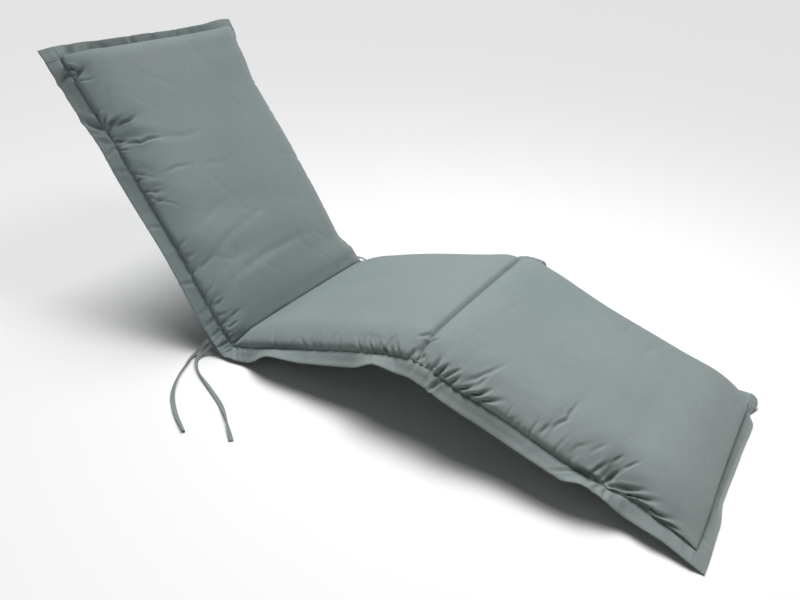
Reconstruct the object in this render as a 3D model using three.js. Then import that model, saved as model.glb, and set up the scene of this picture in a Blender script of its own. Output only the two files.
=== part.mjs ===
import * as THREE from 'three';

// Sun lounger cushion: back, seat and leg pads in one cloth cover, in the bent shape of a lounger.
// Millimetres, +X from the head to the foot, +Z up. It stands on two flat patches of its underside.

// Driving dimensions
const PAD_WIDTH = 468;
const FLANGE_THICKNESS = 3;
const BACK_LEAN = THREE.MathUtils.degToRad(50.1);
const SEAT_RISE = THREE.MathUtils.degToRad(18.3);
const LEG_FALL = THREE.MathUtils.degToRad(15.3);
const FOLD_X = -250;
const FOLD_SEAM_HEIGHT = 13;
const KNEE_BEND = 60;
const CREASE_GAP = 0.8;
const FLANGE_FLOOR_GAP = 1;
const DRAW_REACH = 190;

// How a face rises from its seam: as an ellipse, a slack slope, a wedge or a nearly square edge. The rise
// is (1 - share ^ outer) ^ (1 / inner), share running from 1 at the seam to 0 where the rounding ends.
const ELLIPSE = { outer: 2, inner: 2 };
const SLACK = { outer: 2, inner: 1.4 };
const WEDGE = { outer: 2, inner: 1 };
const SQUARE = { outer: 3.4, inner: 3.4 };

// The back, seat and leg pads between their seams: length, how far the upper and under faces stand off
// the seam plane, how wide the rounding is at the start, end and both sides, and the share of the height
// that is left at a sewn channel.
const PADS = [
  {
    length: 650, top: 36, under: 25, crown: 0.1, sideRound: 48, nearRound: 80,
    startRound: 40, startRise: 0, startShape: SQUARE, endRound: 150, endRise: 0.4, endShape: WEDGE,
    underStartRound: 45, underStartRise: 0, underEndRound: 55, underEndRise: 0,
  },
  {
    length: 438, top: 38, under: 27, crown: 0.12, sideRound: 50, nearRound: 64,
    startRound: 110, startRise: 0.34, startShape: WEDGE, endRound: 55, endRise: 0.72, endShape: ELLIPSE,
    underStartRound: 50, underStartRise: 0, underEndRound: 50, underEndRise: 0.4,
  },
  {
    length: 522, top: 42, under: 27, crown: 0.1, sideRound: 48, nearRound: 98,
    startRound: 55, startRise: 0.65, startShape: ELLIPSE, endRound: 112, endRise: 0, endShape: SLACK,
    underStartRound: 50, underStartRise: 0.4, underEndRound: 48, underEndRise: 0,
  },
];

// The long edges, by distance from the head seam: how far the side seam is drawn in, how far it is
// lifted off the seam plane, how wide the flange is and how many degrees it hangs below that plane.
const NEAR_EDGE = [
  { at: 0, drawnIn: 0, lift: 0, reach: 31, hang: 26 },
  { at: 50, drawnIn: 2, lift: 0, reach: 30, hang: 36 },
  { at: 110, drawnIn: 3, lift: 0, reach: 30, hang: 32 },
  { at: 182, drawnIn: 8, lift: -2, reach: 30, hang: 18 },
  { at: 260, drawnIn: 5, lift: 0, reach: 30, hang: 32 },
  { at: 410, drawnIn: 4, lift: 0, reach: 30, hang: 14 },
  { at: 590, drawnIn: -2, lift: 0, reach: 30, hang: 26 },
  { at: 650, drawnIn: -1, lift: 0, reach: 31, hang: 12 },
  { at: 700, drawnIn: -1, lift: 0, reach: 30, hang: 40 },
  { at: 770, drawnIn: 0, lift: 2, reach: 30, hang: 0 },
  { at: 855, drawnIn: 4, lift: 3, reach: 30, hang: 28 },
  { at: 950, drawnIn: 8, lift: 4, reach: 30, hang: 40 },
  { at: 1012, drawnIn: 7, lift: 3, reach: 30, hang: 6 },
  { at: 1078, drawnIn: 4, lift: 0, reach: 30, hang: 40 },
  { at: 1110, drawnIn: 0, lift: 0, reach: 30, hang: 40 },
  { at: 1170, drawnIn: -4, lift: 0, reach: 30, hang: 34 },
  { at: 1260, drawnIn: 0, lift: 0, reach: 30, hang: 40 },
  { at: 1385, drawnIn: -3, lift: 0, reach: 30, hang: 18 },
  { at: 1425, drawnIn: 2, lift: -2, reach: 28, hang: -12 },
  { at: 1453, drawnIn: 9, lift: -4, reach: 28, hang: -4 },
  { at: 1500, drawnIn: 15, lift: -1, reach: 30, hang: 28 },
  { at: 1560, drawnIn: 8, lift: 0, reach: 29, hang: 8 },
  { at: 1610, drawnIn: 1, lift: 0, reach: 30, hang: 4 },
];
const FAR_EDGE = [
  { at: 0, drawnIn: 2, lift: 0, reach: 30, hang: 10 },
  { at: 60, drawnIn: 10, lift: -3, reach: 30, hang: 40 },
  { at: 145, drawnIn: 20, lift: -8, reach: 30, hang: 62 },
  { at: 300, drawnIn: 18, lift: -8, reach: 30, hang: 66 },
  { at: 400, drawnIn: 21, lift: -9, reach: 30, hang: 66 },
  { at: 550, drawnIn: 28, lift: -10, reach: 30, hang: 66 },
  { at: 610, drawnIn: 9, lift: -3, reach: 30, hang: 56 },
  { at: 650, drawnIn: 4, lift: 0, reach: 30, hang: 40 },
  { at: 700, drawnIn: 2, lift: -3, reach: 30, hang: 50 },
  { at: 870, drawnIn: 2, lift: 2, reach: 30, hang: 60 },
  { at: 1030, drawnIn: 2, lift: -2, reach: 30, hang: 44 },
  { at: 1070, drawnIn: 0, lift: -1, reach: 30, hang: -20 },
  { at: 1092, drawnIn: 0, lift: 0, reach: 30, hang: -26 },
  { at: 1116, drawnIn: 0, lift: 0, reach: 30, hang: -34 },
  { at: 1150, drawnIn: 2, lift: 0, reach: 30, hang: 40 },
  { at: 1300, drawnIn: 10, lift: -3, reach: 30, hang: 60 },
  { at: 1450, drawnIn: 9, lift: -2, reach: 30, hang: 60 },
  { at: 1560, drawnIn: 3, lift: 0, reach: 30, hang: 34 },
  { at: 1610, drawnIn: 4, lift: 2, reach: 21, hang: -14 },
];

// The short edges, by distance across from the middle, with the same columns.
const HEAD_EDGE = [
  { at: -234, drawnIn: 0, reach: 29, hang: 4 },
  { at: -190, drawnIn: 2, reach: 29, hang: -6 },
  { at: -130, drawnIn: 5, reach: 28, hang: -22 },
  { at: -40, drawnIn: 6, reach: 28, hang: -20 },
  { at: 60, drawnIn: 7, reach: 27, hang: -16 },
  { at: 150, drawnIn: 6, reach: 27, hang: -20 },
  { at: 234, drawnIn: 0, reach: 28, hang: -5 },
];
const FOOT_EDGE = [
  { at: -234, drawnIn: 0, reach: 27, hang: 4 },
  { at: -150, drawnIn: 1, reach: 28, hang: 4 },
  { at: -80, drawnIn: 3, reach: 26, hang: 20 },
  { at: 60, drawnIn: 3, reach: 27, hang: 10 },
  { at: 170, drawnIn: 2, reach: 28, hang: 4 },
  { at: 205, drawnIn: 2, reach: 20, hang: 30 },
  { at: 234, drawnIn: 0, reach: 19, hang: 0 },
];

// Places where the seam stitching pulls the filling down: distance from the head seam, distance
// across, radius and depth.
const PINCHES = [
  { at: 42, across: -224, radius: 28, depth: 12 },
  { at: 180, across: -226, radius: 34, depth: 16 },
  { at: 650, across: -222, radius: 34, depth: 9 },
  { at: 1096, across: -226, radius: 30, depth: 12 },
  { at: 1458, across: -222, radius: 44, depth: 22 },
  { at: 1600, across: 216, radius: 28, depth: 8 },
];

// Folds of the upper face, each a trough between two low ridges, from one place to another.
const FOLDS = [
  { at: 45, across: -234, toAt: 32, toAcross: -214, width: 9, depth: 7 },
  { at: 160, across: -232, toAt: 154, toAcross: -172, width: 11, depth: 8 },
  { at: 184, across: -230, toAt: 212, toAcross: -130, width: 11, depth: 7 },
  { at: 248, across: -231, toAt: 282, toAcross: -200, width: 11, depth: 4 },
  { at: 292, across: -232, toAt: 322, toAcross: -198, width: 11, depth: 3 },
  { at: 380, across: -190, toAt: 420, toAcross: 150, width: 34, depth: 2.5 },
  { at: 480, across: -205, toAt: 546, toAcross: 178, width: 34, depth: 3 },
  { at: 481, across: -232, toAt: 470, toAcross: -190, width: 11, depth: 4 },
  { at: 552, across: -233, toAt: 543, toAcross: -200, width: 11, depth: 4 },
  { at: 598, across: -232, toAt: 592, toAcross: -190, width: 11, depth: 5 },
  { at: 636, across: -232, toAt: 640, toAcross: -200, width: 10, depth: 5 },
  { at: 778, across: -234, toAt: 762, toAcross: -212, width: 10, depth: 4 },
  { at: 860, across: -233, toAt: 836, toAcross: -208, width: 12, depth: 4 },
  { at: 975, across: -234, toAt: 956, toAcross: -206, width: 10, depth: 5 },
  { at: 1004, across: -234, toAt: 982, toAcross: -208, width: 10, depth: 5 },
  { at: 1040, across: -234, toAt: 1018, toAcross: -206, width: 11, depth: 6 },
  { at: 1118, across: -236, toAt: 1119, toAcross: -204, width: 10, depth: 7 },
  { at: 1140, across: -236, toAt: 1168, toAcross: -200, width: 11, depth: 6 },
  { at: 1170, across: -234, toAt: 1224, toAcross: -206, width: 12, depth: 7 },
  { at: 1180, across: -221, toAt: 1217, toAcross: -146, width: 12, depth: 4 },
  { at: 1338, across: -214, toAt: 1352, toAcross: -116, width: 13, depth: 5 },
  { at: 1384, across: -224, toAt: 1426, toAcross: -174, width: 12, depth: 4 },
  { at: 1448, across: -228, toAt: 1464, toAcross: -190, width: 11, depth: 8 },
  { at: 1460, across: -224, toAt: 1516, toAcross: -212, width: 11, depth: 10 },
  { at: 1474, across: -230, toAt: 1540, toAcross: -214, width: 10, depth: 8 },
  { at: 1520, across: -234, toAt: 1584, toAcross: -218, width: 11, depth: 8 },
];

// Tie tapes. Each free end leaves the flange beside the fold and lies on the floor: its places, how far
// its lower edge is off the floor, and how many degrees it is turned up from lying flat.
const TAPE_WIDTH = 9;
const TAPE_THICKNESS = 1.4;
const TAPE_STEP = 9;
const TAPE_FLOOR_GAP = 0.3;
const NEAR_TIE_ONE = [
  { x: -280, y: -247, rise: 33, turn: -52 },
  { x: -286.5, y: -263.5, rise: 27.5, turn: -52 },
  { x: -293, y: -273, rise: 19, turn: -40 },
  { x: -299, y: -283, rise: 8, turn: -20 },
  { x: -302, y: -297, rise: 1, turn: 0 },
  { x: -291, y: -325, rise: 0, turn: 0 },
  { x: -273, y: -365, rise: 0, turn: 35 },
  { x: -241, y: -410, rise: 0, turn: 50 },
  { x: -198, y: -445, rise: 0, turn: 25 },
  { x: -149, y: -474, rise: 0, turn: 0 },
];
const NEAR_TIE_TWO = [
  { x: -273, y: -247, rise: 24.5, turn: -52 },
  { x: -279.5, y: -263.5, rise: 19, turn: -52 },
  { x: -286, y: -273, rise: 11, turn: -35 },
  { x: -290, y: -285, rise: 3, turn: -10 },
  { x: -287, y: -299, rise: 0, turn: 0 },
  { x: -276, y: -312, rise: 0, turn: 20 },
  { x: -254, y: -329, rise: 0, turn: 60 },
  { x: -206, y: -352, rise: 0, turn: 15 },
  { x: -150, y: -380, rise: 0, turn: 0 },
  { x: -107, y: -411, rise: 0, turn: 55 },
  { x: -67, y: -444, rise: 0, turn: 0 },
];
const FAR_TIE_ONE = [
  { x: -273, y: 238, rise: 26, turn: 0 },
  { x: -266, y: 249, rise: 22, turn: 10 },
  { x: -258, y: 260, rise: 14, turn: 10 },
  { x: -247, y: 270, rise: 4, turn: 0 },
  { x: -230, y: 279, rise: 0, turn: 0 },
  { x: -190, y: 292, rise: 0, turn: 0 },
  { x: -144, y: 296, rise: 0, turn: 20 },
  { x: -96, y: 304, rise: 0, turn: 0 },
  { x: -48, y: 318, rise: 0, turn: 0 },
  { x: -4, y: 326, rise: 0, turn: 0 },
  { x: 34, y: 318, rise: 0, turn: 0 },
];
const FAR_TIE_TWO = [
  { x: -261, y: 241, rise: 17, turn: 0 },
  { x: -252, y: 250, rise: 13, turn: 10 },
  { x: -242, y: 257, rise: 5, turn: 10 },
  { x: -231, y: 264, rise: 0, turn: 0 },
  { x: -200, y: 269, rise: 0, turn: 0 },
  { x: -150, y: 267, rise: 0, turn: 20 },
  { x: -100, y: 271, rise: 0, turn: 0 },
  { x: -50, y: 284, rise: 0, turn: 0 },
  { x: 0, y: 286, rise: 0, turn: 0 },
  { x: 44, y: 272, rise: 0, turn: 0 },
];

const HALF_WIDTH = PAD_WIDTH / 2;
const TOTAL_LENGTH = PADS.reduce((sum, pad) => sum + pad.length, 0);
const HALF_FLANGE = FLANGE_THICKNESS / 2;

// Values between the rows of a table run smoothly from one row to the next.
function between(table, at, column) {
  if (at <= table[0].at) return table[0][column];
  for (let i = 1; i < table.length; i += 1) {
    const a = table[i - 1];
    const b = table[i];
    if (at <= b.at) {
      const share = THREE.MathUtils.smoothstep(at, a.at, b.at);
      return THREE.MathUtils.lerp(a[column], b[column], share);
    }
  }
  return table[table.length - 1][column];
}

// The side line of the seam plane: straight pads, a sharp fold and a rounded knee.
const directionAt = (angle) => new THREE.Vector3(Math.cos(angle), 0, Math.sin(angle));
const FOLD_AT = PADS[0].length;
const KNEE_AT = PADS[0].length + PADS[1].length;

function kneeAngle(along) {
  const share = THREE.MathUtils.clamp((along - KNEE_AT) / KNEE_BEND + 0.5, 0, 1);
  return THREE.MathUtils.lerp(SEAT_RISE, -LEG_FALL, share);
}

function planeFrame(along) {
  const fold = new THREE.Vector3(FOLD_X, 0, FOLD_SEAM_HEIGHT);
  if (along < FOLD_AT) {
    const tangent = directionAt(-BACK_LEAN);
    return { point: fold.addScaledVector(tangent, along - FOLD_AT), tangent };
  }
  const bendStart = KNEE_AT - KNEE_BEND / 2;
  const straight = Math.min(along, bendStart) - FOLD_AT;
  const point = fold.addScaledVector(directionAt(SEAT_RISE), straight);
  const inBend = THREE.MathUtils.clamp(along - bendStart, 0, KNEE_BEND);
  if (inBend > 0) {
    const turned = kneeAngle(bendStart + inBend);
    point.addScaledVector(directionAt((SEAT_RISE + turned) / 2), inBend);
  }
  const afterBend = Math.max(along - bendStart - KNEE_BEND, 0);
  point.addScaledVector(directionAt(-LEG_FALL), afterBend);
  return { point, tangent: directionAt(kneeAngle(along)) };
}

// The share of full height at a distance from the seam, over the width of the rounding.
function rounding(distance, width, shape = ELLIPSE) {
  const share = 1 - THREE.MathUtils.clamp(distance / width, 0, 1);
  return (1 - share ** shape.outer) ** (1 / shape.inner);
}

const risen = (distance, width, rise, shape) => rise + (1 - rise) * rounding(distance, width, shape);

function padAt(along) {
  let start = 0;
  for (const pad of PADS) {
    if (along < start + pad.length || pad === PADS[PADS.length - 1]) {
      const fromStart = THREE.MathUtils.clamp(along - start, 0, pad.length);
      return { pad, fromStart, toEnd: pad.length - fromStart };
    }
    start += pad.length;
  }
  return null;
}

// Beside the fold the near side rises from its seam more steeply: its width is less by this share,
// and comes back to the pad's own width over this reach
const FOLD_STEEPENING = 0.55;
const FOLD_STEEP_REACH = 60;

function nearWidth(pad, along) {
  const besideFold = (along - FOLD_AT) / FOLD_STEEP_REACH;
  return pad.nearRound * (1 - FOLD_STEEPENING * Math.exp(-besideFold * besideFold));
}

function topHeight(along, across) {
  const { pad, fromStart, toEnd } = padAt(along);
  const start = risen(fromStart, pad.startRound, pad.startRise, pad.startShape);
  const end = risen(toEnd, pad.endRound, pad.endRise, pad.endShape);
  const fromSide = HALF_WIDTH - Math.abs(across);
  const side = rounding(fromSide, across < 0 ? nearWidth(pad, along) : pad.sideRound);
  const share = across / HALF_WIDTH;
  return pad.top * start * end * side * (1 + pad.crown * (1 - share * share));
}

function underHeight(along, across) {
  const { pad, fromStart, toEnd } = padAt(along);
  const start = risen(fromStart, pad.underStartRound, pad.underStartRise);
  const end = risen(toEnd, pad.underEndRound, pad.underEndRise);
  return pad.under * start * end * rounding(HALF_WIDTH - Math.abs(across), pad.sideRound);
}

// A fold's depth falls off across its width and fades by this share towards its far end. It is at full
// depth where the pad is at least so many times as high. Folds and pinches never take the filling below
// the least share of its plain height, and a pinch falls off with this steepness from its middle.
const FOLD_FADE = 0.75;
const FOLD_ROOM = 2;
const LEAST_HEIGHT = 0.25;
const PINCH_STEEPNESS = 2;

function foldDepth(fold, along, across) {
  const runAlong = fold.toAt - fold.at;
  const runAcross = fold.toAcross - fold.across;
  const length = Math.hypot(runAlong, runAcross);
  const dAlong = along - fold.at;
  const dAcross = across - fold.across;
  const onRun = (dAlong * runAlong + dAcross * runAcross) / (length * length);
  const beside = (dAlong * runAcross - dAcross * runAlong) / length / fold.width;
  const past = Math.max(-onRun, onRun - 1, 0) * length / fold.width;
  const fade = 1 - FOLD_FADE * THREE.MathUtils.clamp(onRun, 0, 1);
  return fold.depth * fade * (1 - beside * beside) * Math.exp(-(beside * beside + past * past) / 2);
}

function pinchShare(pinch, along, across) {
  const distance = Math.hypot(along - pinch.at, across - pinch.across) / pinch.radius;
  return Math.exp(-PINCH_STEEPNESS * distance * distance);
}

// Half the inner angle between the back and the seat limits how high the pads stand beside the fold.
const FOLD_HALF_ANGLE = (Math.PI - BACK_LEAN - SEAT_RISE) / 2;

function faceOffset(along, across, side) {
  if (side < 0) return -HALF_FLANGE - underHeight(along, across);
  const plain = topHeight(along, across);
  let height = plain;
  for (const fold of FOLDS) {
    const room = Math.min(1, plain / (fold.depth * FOLD_ROOM));
    height -= foldDepth(fold, along, across) * room;
  }
  for (const pinch of PINCHES) height -= pinch.depth * pinchShare(pinch, along, across);
  height = Math.max(height, plain * LEAST_HEIGHT);
  const besideFold = Math.abs(along - FOLD_AT);
  const limit = Math.max(besideFold - CREASE_GAP, 0) * Math.tan(FOLD_HALF_ANGLE);
  return HALF_FLANGE + Math.min(height, Math.max(limit - HALF_FLANGE, 0));
}

// Flange cloth runs out from the seam by its share of the reach, turned down by the hang, less so at
// the seam itself.
const HANG_AT_SEAM = 0.4;

function hangOut(point, away, normal, table, at, share) {
  const reach = between(table, at, 'reach') * share;
  const hang = THREE.MathUtils.degToRad(between(table, at, 'hang')) * Math.min(1, HANG_AT_SEAM + share);
  point.addScaledVector(away, reach * Math.cos(hang));
  point.addScaledVector(normal, -reach * Math.sin(hang));
}

// How far the stitching draws the cloth in, fading out from the seam towards the middle.
const pullIn = (table, at, fromSeam) => (
  between(table, at, 'drawnIn') * (1 - THREE.MathUtils.smoothstep(fromSeam, 0, DRAW_REACH))
);

// A point of the upper (side 1) or under (side -1) face. Each station is a place on the flat cover,
// along or across it, and the share of the flange's reach that it lies past the seam there.
function coverPoint(along, across, side) {
  const nearSide = across.place < 0;
  const headEnd = along.place < FOLD_AT;
  const edge = nearSide ? NEAR_EDGE : FAR_EDGE;
  const endEdge = headEnd ? HEAD_EDGE : FOOT_EDGE;
  const endSign = headEnd ? -1 : 1;
  const fromEnd = headEnd ? along.place : TOTAL_LENGTH - along.place;
  const fromSide = HALF_WIDTH - Math.abs(across.place);

  const { point, tangent } = planeFrame(along.place - endSign * pullIn(endEdge, across.place, fromEnd));
  const normal = new THREE.Vector3(-tangent.z, 0, tangent.x);
  const outward = new THREE.Vector3(0, nearSide ? -1 : 1, 0);
  point.y = across.place - outward.y * pullIn(edge, along.place, fromSide);
  const liftNear = between(NEAR_EDGE, along.place, 'lift');
  const liftFar = between(FAR_EDGE, along.place, 'lift');
  const farShare = (across.place + HALF_WIDTH) / PAD_WIDTH;
  point.addScaledVector(normal, THREE.MathUtils.lerp(liftNear, liftFar, farShare));

  if (across.past > 0) hangOut(point, outward, normal, edge, along.place, across.past);
  if (along.past > 0) {
    const away = tangent.clone().multiplyScalar(endSign);
    hangOut(point, away, normal, endEdge, across.place, along.past);
  }
  const onFlange = across.past > 0 || along.past > 0;
  const offset = onFlange ? side * HALF_FLANGE : faceOffset(along.place, across.place, side);
  point.addScaledVector(normal, offset);
  point.z = Math.max(point.z, onFlange ? FLANGE_FLOOR_GAP + HALF_FLANGE * (1 + side) : 0);
  return point;
}

// Stations lie close together beside a seam, where the pad curves most, and wide apart elsewhere.
const BESIDE_SEAM = [0, 3, 8, 15, 24, 36, 50];
const FLANGE_SHARES = [1, 0.5];

function stationsBetween(start, length, spacing) {
  const last = BESIDE_SEAM[BESIDE_SEAM.length - 1];
  const count = Math.round((length - 2 * last) / spacing);
  const middle = Array.from({ length: count - 1 }, (_, i) => last + ((length - 2 * last) * (i + 1)) / count);
  const close = BESIDE_SEAM.slice(1).map((d) => length - d).reverse();
  return [...BESIDE_SEAM, ...middle, ...close].map((d) => ({ place: start + d, past: 0 }));
}

function withFlange(start, stations, end) {
  const before = FLANGE_SHARES.map((past) => ({ place: start, past }));
  const after = [...FLANGE_SHARES].reverse().map((past) => ({ place: end, past }));
  return [...before, ...stations, { place: end, past: 0 }, ...after];
}

const ALONG_SPACING = 23;
const ACROSS_SPACING = 34;
let padStart = 0;
const alongInside = PADS.flatMap((pad) => {
  const stations = stationsBetween(padStart, pad.length, ALONG_SPACING);
  padStart += pad.length;
  return stations;
});
const ALONG_STATIONS = withFlange(0, alongInside, TOTAL_LENGTH);
const acrossInside = stationsBetween(-HALF_WIDTH, PAD_WIDTH, ACROSS_SPACING);
const ACROSS_STATIONS = withFlange(-HALF_WIDTH, acrossInside, HALF_WIDTH);

// A closed body from a grid of rings; each ring is closed on itself, and both ends are capped.
function closedBody(rings, material, name) {
  const points = rings.flat();
  const size = rings[0].length;
  const index = [];
  const quad = (a, b, c, d) => index.push(a, c, b, a, d, c);
  for (let i = 0; i + 1 < rings.length; i += 1) {
    for (let j = 0; j < size; j += 1) {
      const next = (j + 1) % size;
      quad(i * size + j, i * size + next, (i + 1) * size + next, (i + 1) * size + j);
    }
  }
  const half = size / 2;
  const cap = (base, flip) => {
    for (let j = 0; j + 1 < half; j += 1) {
      const corners = [base + j, base + j + 1, base + size - 2 - j, base + size - 1 - j];
      quad(...(flip ? corners : corners.reverse()));
    }
  };
  cap(0, false);
  cap((rings.length - 1) * size, true);
  const geometry = new THREE.BufferGeometry().setFromPoints(points);
  geometry.setIndex(index);
  geometry.computeVertexNormals();
  const mesh = new THREE.Mesh(geometry, material);
  mesh.name = name;
  return mesh;
}

// Each ring of the cushion runs over the upper face from near to far and back under it.
function cushion(material) {
  const rings = ALONG_STATIONS.map((along) => {
    const over = ACROSS_STATIONS.map((across) => coverPoint(along, across, 1));
    const under = ACROSS_STATIONS.map((across) => coverPoint(along, across, -1)).reverse();
    return [...over, ...under];
  });
  return closedBody(rings, material, 'cushion');
}

// A flat tape swept along its route. Turning it up about its run lifts its middle off the floor.
function tape(route, material, name) {
  const curve = new THREE.CatmullRomCurve3(route.map(({ x, y, rise }) => new THREE.Vector3(x, y, rise)));
  const steps = Math.round(curve.getLength() / TAPE_STEP);
  const rings = [];
  for (let i = 0; i <= steps; i += 1) {
    const centre = curve.getPointAt(i / steps);
    const tangent = curve.getTangentAt(i / steps);
    const spot = curve.getUtoTmapping(i / steps) * (route.length - 1);
    const row = Math.min(Math.floor(spot), route.length - 2);
    const degrees = THREE.MathUtils.lerp(route[row].turn, route[row + 1].turn, spot - row);
    const turn = THREE.MathUtils.degToRad(degrees);
    const halfUp = (Math.abs(Math.sin(turn)) * TAPE_WIDTH + Math.cos(turn) * TAPE_THICKNESS) / 2;
    centre.z = Math.max(centre.z, 0) + halfUp + TAPE_FLOOR_GAP;
    const flat = new THREE.Vector3(-tangent.y, tangent.x, 0).normalize().applyAxisAngle(tangent, turn);
    const thick = new THREE.Vector3().crossVectors(tangent, flat);
    const corner = (w, t) => centre.clone()
      .addScaledVector(flat, (w * TAPE_WIDTH) / 2)
      .addScaledVector(thick, (t * TAPE_THICKNESS) / 2);
    rings.push([corner(-1, 1), corner(1, 1), corner(1, -1), corner(-1, -1)]);
  }
  return closedBody(rings, material, name);
}

const cloth = new THREE.MeshStandardMaterial({ color: 0x7d8987, roughness: 0.9, metalness: 0 });
const tapeCloth = new THREE.MeshStandardMaterial({ color: 0x87908f, roughness: 0.85, metalness: 0 });

const lounger = new THREE.Group();
lounger.add(cushion(cloth));
lounger.add(tape(NEAR_TIE_ONE, tapeCloth, 'near_tie_one'));
lounger.add(tape(NEAR_TIE_TWO, tapeCloth, 'near_tie_two'));
lounger.add(tape(FAR_TIE_ONE, tapeCloth, 'far_tie_one'));
lounger.add(tape(FAR_TIE_TWO, tapeCloth, 'far_tie_two'));

export default lounger;
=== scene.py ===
"""Sun lounger cushion in the bent shape of a lounger: one padded cover with a hem, and four tie tapes.

Shapes are worked out in millimetres on the flat cover, bent into place, and turned into metres once,
where a mesh is made. "along" runs from the head seam to the foot seam, "across" from the middle of
the cover, less than nought on the near side.
"""

import bpy
import numpy as np
from mathutils import Matrix, Vector


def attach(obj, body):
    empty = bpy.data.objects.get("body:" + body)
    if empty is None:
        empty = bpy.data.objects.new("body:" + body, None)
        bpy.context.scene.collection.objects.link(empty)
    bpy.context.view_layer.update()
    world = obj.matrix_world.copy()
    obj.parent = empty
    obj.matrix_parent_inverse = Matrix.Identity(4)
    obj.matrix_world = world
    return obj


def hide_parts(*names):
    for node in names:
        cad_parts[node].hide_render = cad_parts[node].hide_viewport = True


bl_info = {
    "name": "Sun lounger cushion",
    "version": (1, 0, 0),
    "blender": (4, 5, 0),
    "location": "3D View > Sidebar > Lounger",
    "description": "Padded lounger cushion with sewn channels, a flat hem and tie tapes",
    "category": "Add Mesh",
}

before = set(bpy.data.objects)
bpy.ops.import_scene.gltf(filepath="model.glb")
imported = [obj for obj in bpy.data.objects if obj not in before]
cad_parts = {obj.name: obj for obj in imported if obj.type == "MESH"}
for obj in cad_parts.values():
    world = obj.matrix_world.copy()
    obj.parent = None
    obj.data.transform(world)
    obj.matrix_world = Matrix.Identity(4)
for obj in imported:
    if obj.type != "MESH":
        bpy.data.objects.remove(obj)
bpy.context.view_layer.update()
MM = 0.001

# The cover's seams and bends
PAD_WIDTH = 468.0
HALF_WIDTH = PAD_WIDTH / 2
HALF_FLANGE = 1.5
BACK_LEAN = np.radians(50.1)
SEAT_RISE = np.radians(18.3)
LEG_FALL = np.radians(15.3)
FOLD_HALF_ANGLE = (np.pi - BACK_LEAN - SEAT_RISE) / 2
FOLD_X = -250.0
FOLD_SEAM_HEIGHT = 13.0
KNEE_BEND = 60.0
CREASE_GAP = 0.8
FLANGE_FLOOR_GAP = 1.0
DRAW_REACH = 190.0
HANG_AT_SEAM = 0.4
LEAST_HEIGHT = 0.25
LEAST_RIM = 0.2
FLANGE_WIDTH = 30.0

# How a face rises from its seam, as the outer and inner power of (1 - share ^ outer) ^ (1 / inner)
ELLIPSE = (2.0, 2.0)
SLACK = (2.0, 1.4)
WEDGE = (2.0, 1.0)
SQUARE = (3.4, 3.4)

# Back, seat and leg pads between their seams
PAD_COLUMNS = (
    "length", "top", "under", "crown", "side_round", "near_round",
    "start_round", "start_rise", "start_shape", "end_round", "end_rise", "end_shape",
    "under_start_round", "under_start_rise", "under_end_round", "under_end_rise",
)
PADS = (
    (650, 36, 25, 0.10, 48, 80, 40, 0.00, SQUARE, 150, 0.40, WEDGE, 45, 0.0, 55, 0.0),
    (438, 38, 27, 0.12, 50, 64, 110, 0.34, WEDGE, 55, 0.72, ELLIPSE, 50, 0.0, 50, 0.4),
    (522, 42, 27, 0.10, 48, 98, 55, 0.65, ELLIPSE, 112, 0.00, SLACK, 50, 0.4, 48, 0.0),
)
FOLD_STEEPENING = 0.78
FOLD_STEEP_REACH = 60.0
FOLD_AT = PADS[0][0]
KNEE_AT = PADS[0][0] + PADS[1][0]
TOTAL_LENGTH = sum(pad[0] for pad in PADS)

# How far the side seams are drawn in and lifted, how wide the flange is and how far it hangs down
EDGE_COLUMNS = ("at", "drawn_in", "lift", "reach", "hang")
NEAR_EDGE = (
    (0, 0, 0, 31, 14), (50, 2, 0, 30, 36), (110, 3, 0, 30, 32), (182, 8, -2, 30, 18),
    (260, 5, 0, 30, 32), (410, 4, 0, 30, 14), (590, -2, 0, 30, 26), (650, -1, 0, 31, 12),
    (700, -1, 0, 30, 40), (770, 0, 2, 30, 0), (855, 4, 3, 30, 28), (950, 8, 4, 30, 40),
    (1012, 7, 3, 30, 6), (1078, 4, 0, 30, 40), (1110, 0, 0, 30, 40), (1170, -4, 0, 30, 34),
    (1260, 0, 0, 30, 40), (1385, -3, 0, 30, 18), (1425, 2, -2, 28, -12), (1453, 9, -4, 28, -4),
    (1500, 15, -1, 30, 28), (1560, 8, 0, 29, 8), (1610, 1, 0, 30, 4),
)
FAR_EDGE = (
    (0, 2, 0, 30, 10), (60, 10, -3, 30, 40), (145, 20, -8, 30, 62), (300, 18, -8, 30, 66),
    (400, 21, -9, 30, 66), (550, 28, -10, 30, 66), (610, 9, -3, 30, 56), (650, 4, 0, 30, 40),
    (700, 2, -3, 30, 50), (870, 2, 2, 30, 60), (1030, 2, -2, 30, 44), (1070, 0, -1, 30, -20),
    (1092, 0, 0, 30, -26), (1116, 0, 0, 30, -34), (1150, 2, 0, 30, 40), (1300, 10, -3, 30, 60),
    (1450, 9, -2, 30, 60), (1560, 3, 0, 30, 34), (1610, 4, 2, 21, -14),
)
END_COLUMNS = ("at", "drawn_in", "reach", "hang")
HEAD_EDGE = (
    (-234, 0, 29, 4), (-190, 2, 29, -6), (-130, 5, 28, -22), (-40, 6, 28, -20),
    (60, 7, 27, -16), (150, 6, 27, -20), (234, 0, 28, -5),
)
FOOT_EDGE = (
    (-234, 0, 27, 6), (-150, 1, 28, 12), (-80, 3, 26, 26), (60, 3, 27, 20),
    (170, 2, 28, 14), (205, 2, 20, 34), (234, 0, 19, 0),
)

# Where the stitching pulls the filling down: along, across, radius, depth
PINCHES = (
    (42, -224, 22, 4), (180, -226, 34, 8), (650, -222, 34, 9), (1096, -226, 30, 8),
    (1458, -222, 44, 14), (1600, 216, 28, 8),
)
PINCH_STEEPNESS = 2.0

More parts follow.
